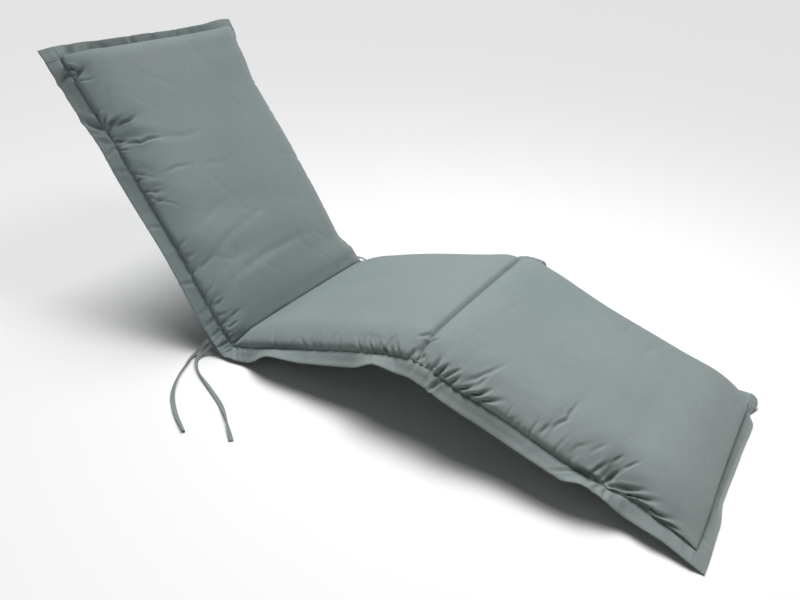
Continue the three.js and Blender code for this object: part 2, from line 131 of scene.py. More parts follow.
# Folds of the upper face, from one place to another: along, across, to along, to across, width, depth
FOLDS = (
    (45, -234, 32, -214, 9, 7), (160, -232, 154, -172, 11, 8), (184, -230, 212, -130, 11, 7),
    (248, -231, 282, -200, 11, 4), (292, -232, 322, -198, 11, 3),
    (481, -232, 470, -190, 11, 4), (552, -233, 543, -200, 11, 4),
    (598, -232, 592, -190, 11, 5), (636, -232, 640, -200, 10, 5), (778, -234, 762, -212, 10, 4),
    (860, -233, 836, -208, 12, 4), (975, -234, 956, -206, 10, 5), (1004, -234, 982, -208, 10, 5),
    (1040, -234, 1018, -206, 11, 6), (1118, -236, 1119, -204, 10, 7), (1140, -236, 1168, -200, 11, 6),
    (1170, -234, 1224, -206, 12, 7), (1180, -221, 1217, -146, 12, 4), (1338, -214, 1352, -116, 13, 5),
    (1384, -224, 1426, -174, 12, 4), (1448, -228, 1464, -190, 11, 8), (1460, -224, 1516, -212, 11, 10),
    (1474, -230, 1540, -214, 10, 8), (1520, -234, 1584, -218, 11, 8),
)
BROAD_FOLDS = ((380, -190, 420, 150, 34, 1.8), (480, -205, 546, 178, 34, 2.2))
FOLD_FADE = 0.75
FOLD_ROOM = 2.0
FOLD_SOFTENING = 0.4

# Sharp creases in the folds: half width, depth, then the places that the crease runs through
CREASES = (
    (3.2, 13.0, ((12, -239), (24, -232), (31, -227), (38, -222))),
    (3.4, 14.0, ((45, -239), (43, -231), (38, -224), (31, -214))),
    (3.0, 8.0, ((30, -239), (35, -233), (44, -230))),
    (3.4, 14.0, ((161, -239), (154, -227), (149, -217), (146, -206))),
    (3.0, 6.0, ((160, -222), (157, -208), (158, -196), (153, -176))),
    (2.6, 4.5, ((156, -237), (141, -230), (126, -223))),
    (2.8, 7.0, ((182, -237), (184, -229), (194, -214))),
    (8.0, 1.1, ((536, -196), (524, -140), (515, -60), (514, 60), (520, 160))),
    (8.0, 0.9, ((478, -206), (448, -134), (430, -48), (416, 48))),
    (8.0, 0.7, ((406, -190), (384, -122), (368, -28))),
    (6.0, 0.7, ((214, -140), (222, -90), (220, -20))),
    (6.0, 0.6, ((286, -110), (300, -40), (296, 30))),
    (3.0, 4.5, ((196, -222), (201, -208), (207, -199), (205, -180), (213, -138))),
    (2.0, 2.0, ((202, -232), (214, -219))),
    (2.6, 2.2, ((246, -235), (263, -226), (282, -208))),
    (2.4, 1.8, ((268, -235), (275, -225))),
    (3.6, 1.5, ((280, -192), (278, -156), (284, -104))),
    (2.6, 1.8, ((291, -235), (303, -224), (316, -204))),
    (2.6, 1.8, ((300, -234), (330, -218), (354, -192))),
    (2.2, 2.2, ((456, -236), (460, -227))),
    (2.4, 3.0, ((484, -236), (477, -228), (469, -216))),
    (2.8, 2.0, ((480, -220), (474, -203), (468, -182))),
    (2.6, 3.4, ((554, -236), (549, -228), (543, -220))),
    (2.4, 2.0, ((557, -225), (556, -216), (553, -208))),
    (2.6, 4.0, ((599, -236), (598, -227), (601, -216))),
    (2.4, 3.6, ((612, -227), (609, -217), (609, -207))),
    (2.8, 2.0, ((595, -214), (592, -203), (590, -188))),
    (2.2, 5.0, ((620, -236), (628, -232), (633, -222))),
    (2.2, 5.0, ((639, -236), (644, -227), (645, -214))),
    (2.4, 2.2, ((779, -236), (766, -226))),
    (2.6, 2.4, ((851, -236), (836, -228), (820, -219))),
    (2.4, 2.4, ((874, -236), (862, -230), (851, -224))),
    (2.4, 2.4, ((890, -236), (872, -226))),
    (2.8, 3.4, ((976, -236), (966, -229), (957, -217))),
    (2.6, 3.2, ((1005, -236), (994, -230), (982, -221))),
    (2.6, 3.6, ((1036, -236), (1024, -232), (1011, -225))),
    (2.4, 3.0, ((1049, -236), (1041, -231), (1032, -222))),
    (2.4, 2.8, ((1061, -236), (1053, -229), (1044, -218))),
    (2.8, 5.0, ((1072, -236), (1079, -226), (1086, -212))),
    (2.4, 3.0, ((1074, -204), (1082, -192), (1087, -176))),
    (2.4, 3.0, ((1088, -200), (1096, -192), (1104, -186))),
    (2.8, 9.0, ((1094, -239), (1091, -228), (1094, -221), (1103, -224))),
    (2.8, 8.0, ((1098, -239), (1104, -231), (1101, -220))),
    (2.8, 7.0, ((1111, -239), (1112, -231), (1110, -224))),
    (3.0, 8.5, ((1119, -239), (1120, -228), (1119, -212))),
    (3.0, 8.5, ((1130, -239), (1134, -230), (1140, -216))),
    (2.6, 3.6, ((1147, -230), (1154, -221), (1164, -211))),
    (3.0, 7.0, ((1150, -239), (1160, -232), (1169, -220))),
    (3.0, 7.5, ((1165, -239), (1180, -231), (1198, -218))),
    (3.4, 8.5, ((1180, -239), (1198, -232), (1209, -228), (1225, -210))),
    (3.4, 5.5, ((1201, -239), (1220, -231), (1254, -215))),
    (3.6, 2.4, ((1178, -222), (1191, -210), (1203, -186), (1218, -150))),
    (3.0, 1.8, ((1197, -222), (1204, -204), (1203, -184))),
    (3.0, 2.4, ((1326, -226), (1329, -214), (1333, -204))),
    (3.2, 3.0, ((1337, -214), (1342, -197), (1350, -182), (1347, -170), (1351, -126))),
    (3.2, 1.2, ((1381, -225), (1386, -212), (1402, -196))),
    (3.0, 1.1, ((1407, -210), (1416, -192), (1426, -177))),
    (4.6, 12.0, ((1454, -231), (1430, -232), (1390, -235))),
    (3.0, 3.6, ((1424, -231), (1432, -217), (1440, -203))),
    (2.6, 1.8, ((1443, -203), (1448, -194), (1456, -180))),
    (3.0, 8.0, ((1448, -236), (1451, -226), (1456, -214), (1463, -201))),
    (2.8, 2.2, ((1463, -202), (1472, -190), (1481, -177))),
    (3.0, 10.0, ((1446, -238), (1456, -228), (1470, -224), (1494, -222), (1516, -217))),
    (3.0, 8.0, ((1458, -238), (1470, -232), (1496, -230), (1515, -226), (1540, -216))),
    (3.0, 8.0, ((1484, -238), (1506, -233), (1538, -231), (1570, -221))),
    (2.8, 7.0, ((1532, -238), (1552, -233), (1584, -227))),
    (2.4, 3.0, ((1594, -237), (1610, -232))),
    (2.4, 4.0, ((1588, 236), (1596, 226), (1610, 222))),
    (2.2, 3.0, ((1578, 236), (1584, 224))),
)

# A crease's low ridges, its reach, both in half widths, and where it starts and fades along its run
CREASE_RIDGE = 0.16
RIDGE_AT = 2.1
RIDGE_WIDTH = 0.95
CREASE_REACH = 5.0
CREASE_ONSET = (-0.1, 0.3)
CREASE_FADE = (0.4, 1.05)
STARTS_AT_SEAM = 6.0

# Share of the filling's height that creases may take up, and how soon they come to it
CREASE_ROOM = 0.85
CREASE_DEEPENING = 1.3

# The face's rise beside its seams, along which creases are measured
WALL_WIDTH = 85.0
WALL_HEIGHT = 40.0
WALL_SAMPLES = 400

# Faint creases, spread at random: how many, half width, depth and length, each from low to high
SEAM_CREASES = (170, (2.2, 4.0), (0.6, 1.9), (12, 40))
FACE_CREASES = (90, (4.0, 8.0), (0.15, 0.55), (50, 190))
PLAIN_STRETCHES = ((1084, 1262), (1436, 1610))
FAR_SOFTENING = 0.45
HEADING_SPREAD = 0.5
BEND_SPREAD = 0.4
CREASE_SEED = 11

# Pleats of the flange: along at the seam, along at the hem, width, depth
NEAR_PLEATS = (
    (26, 40, 7, 10), (44, 60, 6, -4), (110, 124, 6, 1.6), (154, 122, 10, 8), (178, 158, 6, -3),
    (192, 206, 5, 2.5), (246, 236, 6, 1.4), (330, 338, 6, 1), (372, 362, 5, 1.8), (420, 430, 7, -1),
    (500, 490, 5, 2.2), (556, 562, 6, 1.4), (580, 588, 5, 3.4), (604, 612, 4, 4), (620, 628, 4, -3),
    (634, 636, 3.5, 6), (650, 648, 3.5, -4), (664, 676, 4, 5.5), (684, 698, 5, -2),
    (830, 842, 9, 0.8), (905, 896, 8, 0.8),
    (1000, 1012, 6, -1.2), (1046, 1054, 5, 1.4), (1090, 1082, 5, 1.8), (1110, 1118, 5, -2.4),
    (1143, 1134, 4.5, 8), (1162, 1174, 6, -1.6), (1240, 1258, 8, 0.8), (1330, 1316, 8, -0.8),
    (1404, 1366, 5, 2.4), (1440, 1432, 5, -2.4), (1457, 1460, 4.5, 3.6), (1480, 1492, 6, -1.4),
    (1544, 1552, 7, 0.8), (1588, 1598, 6, 1.4),
)
FAR_PLEATS = (
    (30, 24, 6, 2), (150, 160, 9, 1), (420, 410, 9, 1), (640, 648, 6, 2.4), (1060, 1056, 6, -2),
    (1086, 1090, 5, 2.6), (1110, 1118, 5, -2), (1300, 1288, 10, 1), (1560, 1568, 6, 2), (1590, 1582, 5, -2),
)
HEAD_PLEATS = (
    (-212, -200, 9, 6), (-178, -168, 8, -2.5), (-128, -140, 10, 2.5), (-84, -70, 9, 3.5), (-52, -58, 7, 7),
    (-30, -24, 6, -3), (-2, 6, 8, 6), (34, 40, 8, -2), (70, 74, 5, 5), (120, 108, 8, 2), (196, 206, 7, 2.4),
)
FOOT_PLEATS = (
    (-196, -206, 7, 1.2), (-120, -110, 9, 0.8), (-40, -44, 5, 1.8), (96, 106, 9, 0.8), (196, 206, 6, 2.2),
)
PLEAT_ONSET = (0, 0.3)
PLEAT_END = (0.4, 1.0)
PLEAT_FADE = 0.75

# Filled cloth stands out over its seam by this much, furthest at this distance from the seam
SEAM_BULGE = 4.4
BULGE_AT = 5.0
FOOT_BULGE = 9.0
FOOT_BULGE_AT = 10.0

# Where back and seat press on each other in the fold, their lips are rounded over this height
BACK_LIP = 6.0
SEAT_LIP = 5.0

# How round the hem's far corner is at the foot, from square to a quarter circle
LOBE_ROUNDNESS = 1.0

# Sewn channel between two pads: how wide and deep the stitches sink
CHANNEL_WIDTH = 3.6
CHANNEL_DEPTH = 6.0

# Spare cloth that is gathered into the side seams, as a share of the seam's length: along, share
NEAR_GATHERS = (
    (0, 0.05), (40, 0.08), (90, 0.02), (150, 0.07), (215, 0.06), (300, 0.03), (400, 0.02), (470, 0.04),
    (600, 0.07), (650, 0.08), (700, 0.02), (780, 0.03), (850, 0.04), (950, 0.05), (1030, 0.07),
    (1088, 0.12), (1150, 0.10), (1230, 0.05), (1290, 0.02), (1380, 0.04), (1440, 0.10), (1520, 0.08),
    (1590, 0.04), (1610, 0.05),
)
FAR_GATHERS = (
    (0, 0.05), (60, 0.04), (300, 0.05), (500, 0.04), (640, 0.08), (800, 0.04), (1040, 0.05),
    (1088, 0.08), (1140, 0.05), (1400, 0.04), (1610, 0.06),
)
GATHER_COLUMNS = ("at", "share")
GATHER_REACH = 26.0
END_GATHERS = 0.02
LOOSE_CLOTH = 0.005

# How the gathered cloth settles: its first wobble, its links' strength, straight and slanting
RELAX_STEPS = 160
RELAX_SEED = 7
FIRST_WOBBLE = 0.9
LINK_STRENGTH = 0.45
SLANT_STRENGTH = 0.12
FILL_STIFFNESS = 0.06
CLOTH_STIFFNESS = 0.022
MOST_MOVE = 5.0
HELD_AT_FOLD = 3.0

# Spacing of the cover's grid, finer beside the near seam and on the stretches that are creased most
ALONG_SPACING = 3.2
CREASED_SPACING = 1.7
CREASED_STRETCHES = ((6, 60), (118, 232), (540, 648), (930, 1086), (1090, 1264), (1312, 1604))
ACROSS_SPACING = 6.0
NEAR_SPACING = 2.2
NEAR_BAND = 74.0
STRETCH_BLEND = 12.0
STATION_SAMPLES = 4001
BESIDE_SEAM = (0.0, 0.7, 1.7, 3.0, 4.6, 6.4, 8.4, 10.6, 13.0, 15.6)
FLANGE_SHARES = (1.0, 0.985, 0.95, 0.88, 0.78, 0.66, 0.54, 0.42, 0.3, 0.2, 0.12, 0.05)

# Tie tapes: x, y, height of the lower edge, degrees turned up from lying flat
TAPE_THICKNESS = 1.4
TAPE_EDGE = 0.12
TAPE_FLOOR_GAP = 0.3
TAPE_STEPS = 110
TAPE_ACROSS = (-1, -0.97, -0.88, -0.7, -0.35, 0, 0.35, 0.7, 0.88, 0.97, 1)
ROUTE_SAMPLES = 2001
TIE_ROUTES = {
    "near_tie_one": (
        (-280, -247, 33, -52), (-286.5, -263.5, 27.5, -52), (-293, -273, 19, -40),
        (-299, -283, 8, -10), (-302, -297, 1, 20), (-291, -325, 0, 50), (-273, -365, 0, 55),
        (-241, -410, 0, 20), (-198, -445, 0, -25), (-149, -474, 0, -45),
    ),
    "near_tie_two": (
        (-273, -247, 24.5, -52), (-279.5, -263.5, 19, -52), (-286, -273, 11, -35),
        (-290, -285, 3, -20), (-287, -299, 0, -35), (-276, -312, 0, -55), (-254, -329, 0, -62),
        (-206, -352, 0, -25), (-150, -380, 0, -10), (-107, -411, 0, -70), (-67, -444, 0, 0),
    ),
    "far_tie_one": (
        (-273, 238, 26, 0), (-266, 249, 22, 10), (-258, 260, 14, 10), (-247, 270, 4, 0),
        (-230, 279, 0, 0), (-190, 292, 0, 0), (-144, 296, 0, 20), (-96, 304, 0, 0),
        (-48, 318, 0, 0), (-4, 326, 0, 0), (34, 318, 0, 0),
    ),
    "far_tie_two": (
        (-261, 241, 17, 0), (-252, 250, 13, 10), (-242, 257, 5, 10), (-231, 264, 0, 0),
        (-200, 269, 0, 0), (-150, 267, 0, 20), (-100, 271, 0, 0), (-50, 284, 0, 0),
        (0, 286, 0, 0), (44, 272, 0, 0),
    ),
}

# Camera at the photograph's angle, in metres
CAMERA_AT = (0.6715, -1.2125, 0.8895)
CAMERA_AIM = (-0.0037, 0.0, 0.1059)
CAMERA_ROLL = np.radians(4.634)
CAMERA_LENS = 34.744
CAMERA_SENSOR = 36.0
CAMERA_REACH = 50.0

# Studio light: where the broad overhead light comes from and how broad it is
KEY_FROM = (-0.24, 0.28, 1.0)
KEY_SOFTNESS = np.radians(42)
SOFTBOX_AT = (0.2, 0.24, 1.4)
SOFTBOX_WIDTH = 0.7
WORLD_LIGHT = 0.12
WORLD_TONE = 0.72
FLOOR_HALF_WIDTH = 20000.0
FLOOR_LEVEL = -0.2

# Cloth and thread, in metres and to the metre
COVER_YARNS = 1100.0
TAPE_YARNS = 1500.0
STITCH_ROW_AT = 0.0016
THREAD_COLOUR = (0.3, 0.34, 0.34, 1)


def smooth_share(value, low, high):
    """Share of the way from low to high, eased in and out as 3t^2 - 2t^3."""
    t = np.clip((value - low) / (high - low), 0, 1)
    return t * t * (3 - 2 * t)


def table_column(table, columns, name, at):
    """A table's column at each place, running smoothly from one row to the next."""
    places = np.array([row[0] for row in table], float)
    values = np.array([row[columns.index(name)] for row in table], float)
    at = np.clip(at, places[0], places[-1])
    row = np.clip(np.searchsorted(places, at), 1, len(places) - 1)
    share = smooth_share(at, places[row - 1], places[row])
    return values[row - 1] + (values[row] - values[row - 1]) * share


def seam_plane(along):
    """Points and directions of the seam plane's side line: straight, a sharp fold, then a rounded knee."""
    def run(angle):
        return np.stack([np.cos(angle), np.zeros_like(angle), np.sin(angle)], -1)

    fold = np.array([FOLD_X, 0, FOLD_SEAM_HEIGHT])
    back_run = run(np.full(along.shape, -BACK_LEAN))
    on_back = fold + back_run * (along - FOLD_AT)[..., None]
    bend_start = KNEE_AT - KNEE_BEND / 2
    straight = np.minimum(along, bend_start) - FOLD_AT
    in_bend = np.clip(along - bend_start, 0, KNEE_BEND)
    angle = SEAT_RISE - (SEAT_RISE + LEG_FALL) * in_bend / KNEE_BEND
    after = np.maximum(along - bend_start - KNEE_BEND, 0)
    on_seat = fold + run(np.full(along.shape, SEAT_RISE)) * straight[..., None]
    on_seat = on_seat + run((SEAT_RISE + angle) / 2) * in_bend[..., None]
    on_seat = on_seat + run(np.full(along.shape, -LEG_FALL)) * after[..., None]
    back = (along < FOLD_AT)[..., None]
    return np.where(back, on_back, on_seat), np.where(back, back_run, run(angle))


def rounding(distance, width, shape=ELLIPSE):
    """Rise from the seam to full height over the rounding's width, (1 - share ^ outer) ^ (1 / inner)."""
    share = 1 - np.clip(distance / width, 0, 1)
    return (1 - share ** shape[0]) ** (1 / shape[1])


def risen(distance, width, rise, shape=ELLIPSE):
    """Rounding that starts at a share of the full height: rise + (1 - rise) times the rounding."""
    return rise + (1 - rise) * rounding(distance, width, shape)


def plain_heights(along, across):
    """Heights of the upper and under faces: full height times the rounding at both ends and sides."""
    top = np.zeros(along.shape)
    under = np.zeros(along.shape)
    from_side = HALF_WIDTH - np.abs(across)
    steeper = 1 - FOLD_STEEPENING * np.exp(-(((along - FOLD_AT) / FOLD_STEEP_REACH) ** 2))
    start = 0
    for row in PADS:
        pad = dict(zip(PAD_COLUMNS, row))
        here = (along >= start) & (along <= start + pad["length"])
        from_start = np.clip(along - start, 0, pad["length"])
        to_end = pad["length"] - from_start
        side = rounding(from_side, pad["side_round"])
        near = rounding(from_side, pad["near_round"] * steeper)
        crown = 1 + pad["crown"] * (1 - (across / HALF_WIDTH) ** 2)
        ends = risen(from_start, pad["start_round"], pad["start_rise"], pad["start_shape"])
        ends = ends * risen(to_end, pad["end_round"], pad["end_rise"], pad["end_shape"])
        top = np.where(here, pad["top"] * ends * np.where(across < 0, near, side) * crown, top)
        ends = risen(from_start, pad["under_start_round"], pad["under_start_rise"])
        ends = ends * risen(to_end, pad["under_end_round"], pad["under_end_rise"])
        under = np.where(here, pad["under"] * ends * side, under)
        start += pad["length"]
    return top, under


def fold_depths(rows, along, across, plain):
    """Each fold is a trough (1 - b^2) exp(-b^2 / 2) across its run, b in fold widths, fading along it."""
    depth = np.zeros(along.shape)
    for at, place, to_at, to_place, width, deep in rows:
        run_along, run_across = to_at - at, to_place - place
        length = np.hypot(run_along, run_across)
        d_along, d_across = along - at, across - place
        on_run = (d_along * run_along + d_across * run_across) / length**2
        beside = (d_along * run_across - d_across * run_along) / length / width
        past = np.maximum(np.maximum(-on_run, on_run - 1), 0) * length / width
        fade = 1 - FOLD_FADE * np.clip(on_run, 0, 1)
        held = np.minimum(1, plain / deep / FOLD_ROOM)
        depth += deep * fade * held * (1 - beside**2) * np.exp(-(beside**2 + past**2) / 2)
    return depth


def faint_creases(seed):
    """Small creases at random: short ones that run in from the side seams, long soft ones on the face."""
    rng = np.random.default_rng(seed)
    rows = []
    for on_seam, (count, widths, depths, lengths) in ((True, SEAM_CREASES), (False, FACE_CREASES)):
        for _ in range(count):
            width, deep, length = (rng.uniform(*pair) for pair in (widths, depths, lengths))
            side = rng.choice((-1, 1))
            start = np.array([rng.uniform(0, TOTAL_LENGTH), side * HALF_WIDTH])
            heading = -side * np.pi / 2 + rng.normal(0, HEADING_SPREAD)
            if not on_seam:
                start[1] = rng.uniform(-HALF_WIDTH, HALF_WIDTH)
                heading = rng.uniform(0, np.pi)
            elif side > 0:
                deep *= FAR_SOFTENING
            elif any(low < start[0] < high for low, high in PLAIN_STRETCHES):
                continue
            turned = heading + np.array([0, rng.normal(0, BEND_SPREAD)])
            steps = np.stack([np.cos(turned), np.sin(turned)], -1) * length / 2
            rows.append((width, deep, (start, start + steps[0], start + steps[0] + steps[1])))
    return rows


def face_across(across):
    """Place across the cover measured along the upper face, which rises from its seam as an ellipse."""
    spot = WALL_WIDTH * np.linspace(0, 1, WALL_SAMPLES) ** 2
    height = WALL_HEIGHT * rounding(spot, WALL_WIDTH)
    run = np.concatenate([[0], np.cumsum(np.hypot(np.diff(spot), np.diff(height)))])
    from_side = HALF_WIDTH - np.abs(across)
    beyond = np.maximum(from_side - WALL_WIDTH, 0) + np.minimum(from_side, 0)
    length = np.interp(from_side, spot, run) + beyond
    return np.sign(across) * (run[-1] + HALF_WIDTH - WALL_WIDTH - length)


def crease_depths(rows, along, across, height):
    """Each crease is a valley exp(-b^2) with low ridges beside it, b the distance to its line over its
    half width. It fades to its far end, and is worked out on the part of the grid around it."""
    depth = np.zeros(along.shape)
    face = face_across(across[0])
    for half_width, deep, places in rows:
        line = np.array(places, float)
        from_seam = abs(line[0, 1]) > HALF_WIDTH - STARTS_AT_SEAM
        line[:, 1] = face_across(line[:, 1])
        low = line.min(0) - CREASE_REACH * half_width
        high = line.max(0) + CREASE_REACH * half_width
        rows_near = (along[:, 0] > low[0]) & (along[:, 0] < high[0])
        columns_near = (face > low[1]) & (face < high[1])
        near = np.ix_(rows_near, columns_near)
        spot = np.stack(np.broadcast_arrays(along[near], face[columns_near]), -1)
        runs = np.diff(line, axis=0)
        lengths = np.linalg.norm(runs, axis=1)
        before = np.concatenate([[0], np.cumsum(lengths)])
        distance = np.full(spot.shape[:2], np.inf)
        gone = np.zeros(spot.shape[:2])
        for start, run, length, done in zip(line, runs, lengths, before):
            share = np.clip(((spot - start) @ run) / length**2, 0, 1)
            off = np.linalg.norm(spot - start - share[..., None] * run, axis=-1)
            gone = np.where(off < distance, (done + share * length) / before[-1], gone)
            distance = np.minimum(distance, off)
        b = distance / half_width
        shape = np.exp(-(b**2)) - CREASE_RIDGE * np.exp(-(((b - RIDGE_AT) / RIDGE_WIDTH) ** 2))
        fade = 1 - smooth_share(gone, *CREASE_FADE)
        if not from_seam:
            fade = fade * smooth_share(gone, *CREASE_ONSET)
        depth[near] += deep * fade * shape
    room = np.maximum(CREASE_ROOM * height, 0.01)
    return room * np.tanh(CREASE_DEEPENING * depth / room)


def face_offset(along, across, side):
    """Height of a face off the seam plane, with its folds, pinches and sewn channels taken off."""
    top, under = plain_heights(along, across)
    if side < 0:
        plain = under
        height = under
    else:
        plain = top
        height = top - FOLD_SOFTENING * fold_depths(FOLDS, along, across, top)
        height = height - fold_depths(BROAD_FOLDS, along, across, top)
        for at, place, radius, deep in PINCHES:
            distance = np.hypot(along - at, across - place) / radius
            height = height - deep * np.exp(-PINCH_STEEPNESS * distance**2)
    channel = np.exp(-(((along - KNEE_AT) / CHANNEL_WIDTH) ** 2))
    height = height - CHANNEL_DEPTH * channel * np.minimum(1, plain / CHANNEL_DEPTH / 2)
    height = np.maximum(height, plain * LEAST_HEIGHT)
    if side > 0:
        limit = np.maximum(np.abs(along - FOLD_AT) - CREASE_GAP, 0) * np.tan(FOLD_HALF_ANGLE)
        limit = np.maximum(limit - HALF_FLANGE, 0)
        lip = np.where(along < FOLD_AT, BACK_LIP, SEAT_LIP)
        overlap = np.maximum(lip - np.abs(height - limit), 0) / lip
        height = np.maximum(np.minimum(height, limit) - lip * overlap**2 / 4, np.minimum(0, limit))
    return side * (HALF_FLANGE + height)


def two_edges(first, second, columns, at, on_first):
    """Every column of two opposite edges' tables, each place taking those of the edge it lies by."""
    def column(name):
        return [table_column(table, columns, name, at) for table in (first, second)]

    return {name: np.where(on_first, *column(name)) for name in columns[1:]}


def pulled_in(drawn_in, from_seam):
    """How far the stitching draws the cloth in, fading out from the seam."""
    return drawn_in * (1 - smooth_share(from_seam, 0, DRAW_REACH))


def pleat_depths(rows, at, share):
    """Pleats of the hem: narrow troughs that start beside the seam, nearly flat again at the hem's edge."""
    depth = np.zeros(at.shape)
    for at_seam, at_hem, width, deep in rows:
        beside = (at - at_seam - (at_hem - at_seam) * share) / width
        depth += deep * (1 - beside**2) * np.exp(-(beside**2) / 2)
    fade = PLEAT_FADE * smooth_share(share, *PLEAT_END)
    return depth * smooth_share(share, *PLEAT_ONSET) * (1 - fade)


def two_pleated(first, second, at, share, on_first):
    """Depth of the pleats of two opposite edges, each place taking those of the edge it lies by."""
    return np.where(on_first, pleat_depths(first, at, share), pleat_depths(second, at, share))


def bulge(from_seam, most=SEAM_BULGE, at=BULGE_AT):
    """How far filled cloth stands out over its seam: (d / at) exp(1 - d / at) times the bulge."""
    return most * from_seam / at * np.exp(1 - from_seam / at)


def cover_face(along, along_past, across, across_past, side):
    """Points of one face on a grid: seam plane, plus the side and end edges, plus height along the normal."""
    near = across < 0
    head = along < FOLD_AT
    end_sign = np.where(head, -1.0, 1.0)
    out_sign = np.where(near, -1.0, 1.0)
    from_end = np.where(head, along, TOTAL_LENGTH - along)
    from_side = HALF_WIDTH - np.abs(across)
    at_side = two_edges(NEAR_EDGE, FAR_EDGE, EDGE_COLUMNS, along, near)
    at_end = two_edges(HEAD_EDGE, FOOT_EDGE, END_COLUMNS, across, head)
    end_pull = pulled_in(at_end["drawn_in"], from_end)
    point, tangent = seam_plane(along - end_sign * end_pull)
    end_bulge = np.where(head, bulge(from_end), bulge(from_end, FOOT_BULGE, FOOT_BULGE_AT))
    point = point + tangent * (end_sign * end_bulge)[..., None]
    normal = np.stack([-tangent[..., 2], np.zeros(along.shape), tangent[..., 0]], -1)
    side_pull = pulled_in(at_side["drawn_in"], from_side)
    point[..., 1] = across - out_sign * (side_pull - bulge(from_side))
    far_share = (across + HALF_WIDTH) / PAD_WIDTH
    lift = table_column(NEAR_EDGE, EDGE_COLUMNS, "lift", along) * (1 - far_share)
    lift = lift + table_column(FAR_EDGE, EDGE_COLUMNS, "lift", along) * far_share
    point = point + normal * lift[..., None]

    outward = np.stack([np.zeros(along.shape), out_sign, np.zeros(along.shape)], -1)
    endward = tangent * end_sign[..., None]
    side_pleats = two_pleated(NEAR_PLEATS, FAR_PLEATS, along, across_past, near)
    end_pleats = two_pleated(HEAD_PLEATS, FOOT_PLEATS, across, along_past, head)
    edge_gap = np.full(along.shape, np.inf)
    runs = (
        (outward, at_side["reach"], at_side["hang"], across_past, along_past, side_pleats),
        (endward, at_end["reach"], at_end["hang"], along_past, across_past, end_pleats),
    )
    lobe = np.where(near | head, 0.0, LOBE_ROUNDNESS)
    for away, reach, hang, share, other_share, pleats in runs:
        angle = np.radians(hang) * np.minimum(1, HANG_AT_SEAM + share)
        out = reach * share * np.sqrt(1 - lobe * other_share**2 / 2)
        point = point + away * (out * np.cos(angle))[..., None]
        point = point - normal * (out * np.sin(angle) + pleats * (share > 0))[..., None]
        edge_gap = np.where(share > 0, np.minimum(edge_gap, (1 - share) * reach), edge_gap)

    on_flange = (across_past > 0) | (along_past > 0)
    rim = np.maximum(rounding(np.minimum(edge_gap, HALF_FLANGE), HALF_FLANGE), LEAST_RIM)
    offset = np.where(on_flange, side * HALF_FLANGE * rim, face_offset(along, across, side))
    point = point + normal * offset[..., None]
    floor = np.where(on_flange, FLANGE_FLOOR_GAP + HALF_FLANGE * (1 + side), 0)
    point[..., 2] = np.maximum(point[..., 2], floor)
    return point


def spare_cloth(along, across):
    """Share of spare cloth along the side seams: the gathers' share, fading as exp(-(d / reach)^2)."""
    near = table_column(NEAR_GATHERS, GATHER_COLUMNS, "share", along)
    far = table_column(FAR_GATHERS, GATHER_COLUMNS, "share", along)
    share = np.where(across < 0, near, far)
    return LOOSE_CLOTH + share * np.exp(-(((HALF_WIDTH - np.abs(across)) / GATHER_REACH) ** 2))


def end_cloth(along, across):
    """Share of spare cloth across the cover, beside the head and foot seams and the channels."""
    share = np.full(along.shape, LOOSE_CLOTH)
    for seam in (0, FOLD_AT, KNEE_AT, TOTAL_LENGTH):
        share += END_GATHERS * np.exp(-(((along - seam) / GATHER_REACH) ** 2))
    return share


def grid_normals(points):
    """Unit normals of a grid of points, the cross product of its two directions."""
    normal = np.cross(np.gradient(points, axis=0), np.gradient(points, axis=1))
    return normal / np.linalg.norm(normal, axis=-1, keepdims=True)


def relaxed(points, along, across, held, seed):
    """Lets gathered cloth buckle over its filling.

    Each link of the grid is pushed to its length plus its spare cloth, the filling pulls each point
    back along the normal, and the cloth resists bending by the fourth difference of its move. Points
    where held is true stay on their seams.
    """
    rng = np.random.default_rng(seed)
    base = points.copy()
    normal = grid_normals(base)
    free = (~held)[..., None].astype(float)
    wobble = rng.normal(0, 1, along.shape)
    for axis in (0, 1, 0, 1):
        wobble = (np.roll(wobble, 1, axis) + wobble + np.roll(wobble, -1, axis)) / 3
    moved = base + normal * (wobble * FIRST_WOBBLE)[..., None] * free
    rows, columns = along.shape
    spare_along = spare_cloth(along, across)
    spare_across = end_cloth(along, across)
    links = []
    kinds = (((1, 0), spare_along), ((0, 1), spare_across), ((1, 1), None), ((1, -1), None))
    for step, spare in kinds:
        low = (slice(0, rows - step[0]), slice(max(0, -step[1]), columns - max(0, step[1])))
        high = (slice(step[0], rows), slice(max(0, step[1]), columns + min(0, step[1])))
        length = np.linalg.norm(base[high] - base[low], axis=-1)
        if spare is None:
            stretch = 1 + 0.5 * (spare_along[low] + spare_across[low])
            strength = SLANT_STRENGTH
        else:
            stretch = 1 + spare[low]
            strength = LINK_STRENGTH
        links.append((low, high, length * stretch, strength))
    for _ in range(RELAX_STEPS):
        for low, high, length, strength in links:
            gap = moved[high] - moved[low]
            now = np.linalg.norm(gap, axis=-1)
            push = gap * ((now - length) / np.maximum(now, 1e-6) * 0.5 * strength)[..., None]
            change = np.zeros_like(moved)
            change[low] += push
            change[high] -= push
            moved += change * free
        move = moved - base
        bend = np.zeros_like(move)
        for axis in (0, 1):
            second = np.zeros_like(move)
            inner = [slice(None)] * 3
            inner[axis] = slice(1, -1)
            second[tuple(inner)] = np.diff(move, 2, axis)
            fourth = np.zeros_like(move)
            fourth[tuple(inner)] = np.diff(second, 2, axis)
            bend += fourth
        off = np.sum(move * normal, -1, keepdims=True)
        move = move - CLOTH_STIFFNESS * bend - FILL_STIFFNESS * off * normal
        moved = base + move * free
    move = moved - base
    off = np.sum(move * normal, -1, keepdims=True)
    along_face = move - off * normal
    shaped = MOST_MOVE * np.tanh(off / MOST_MOVE)
    return base + (along_face + shaped * normal) * free


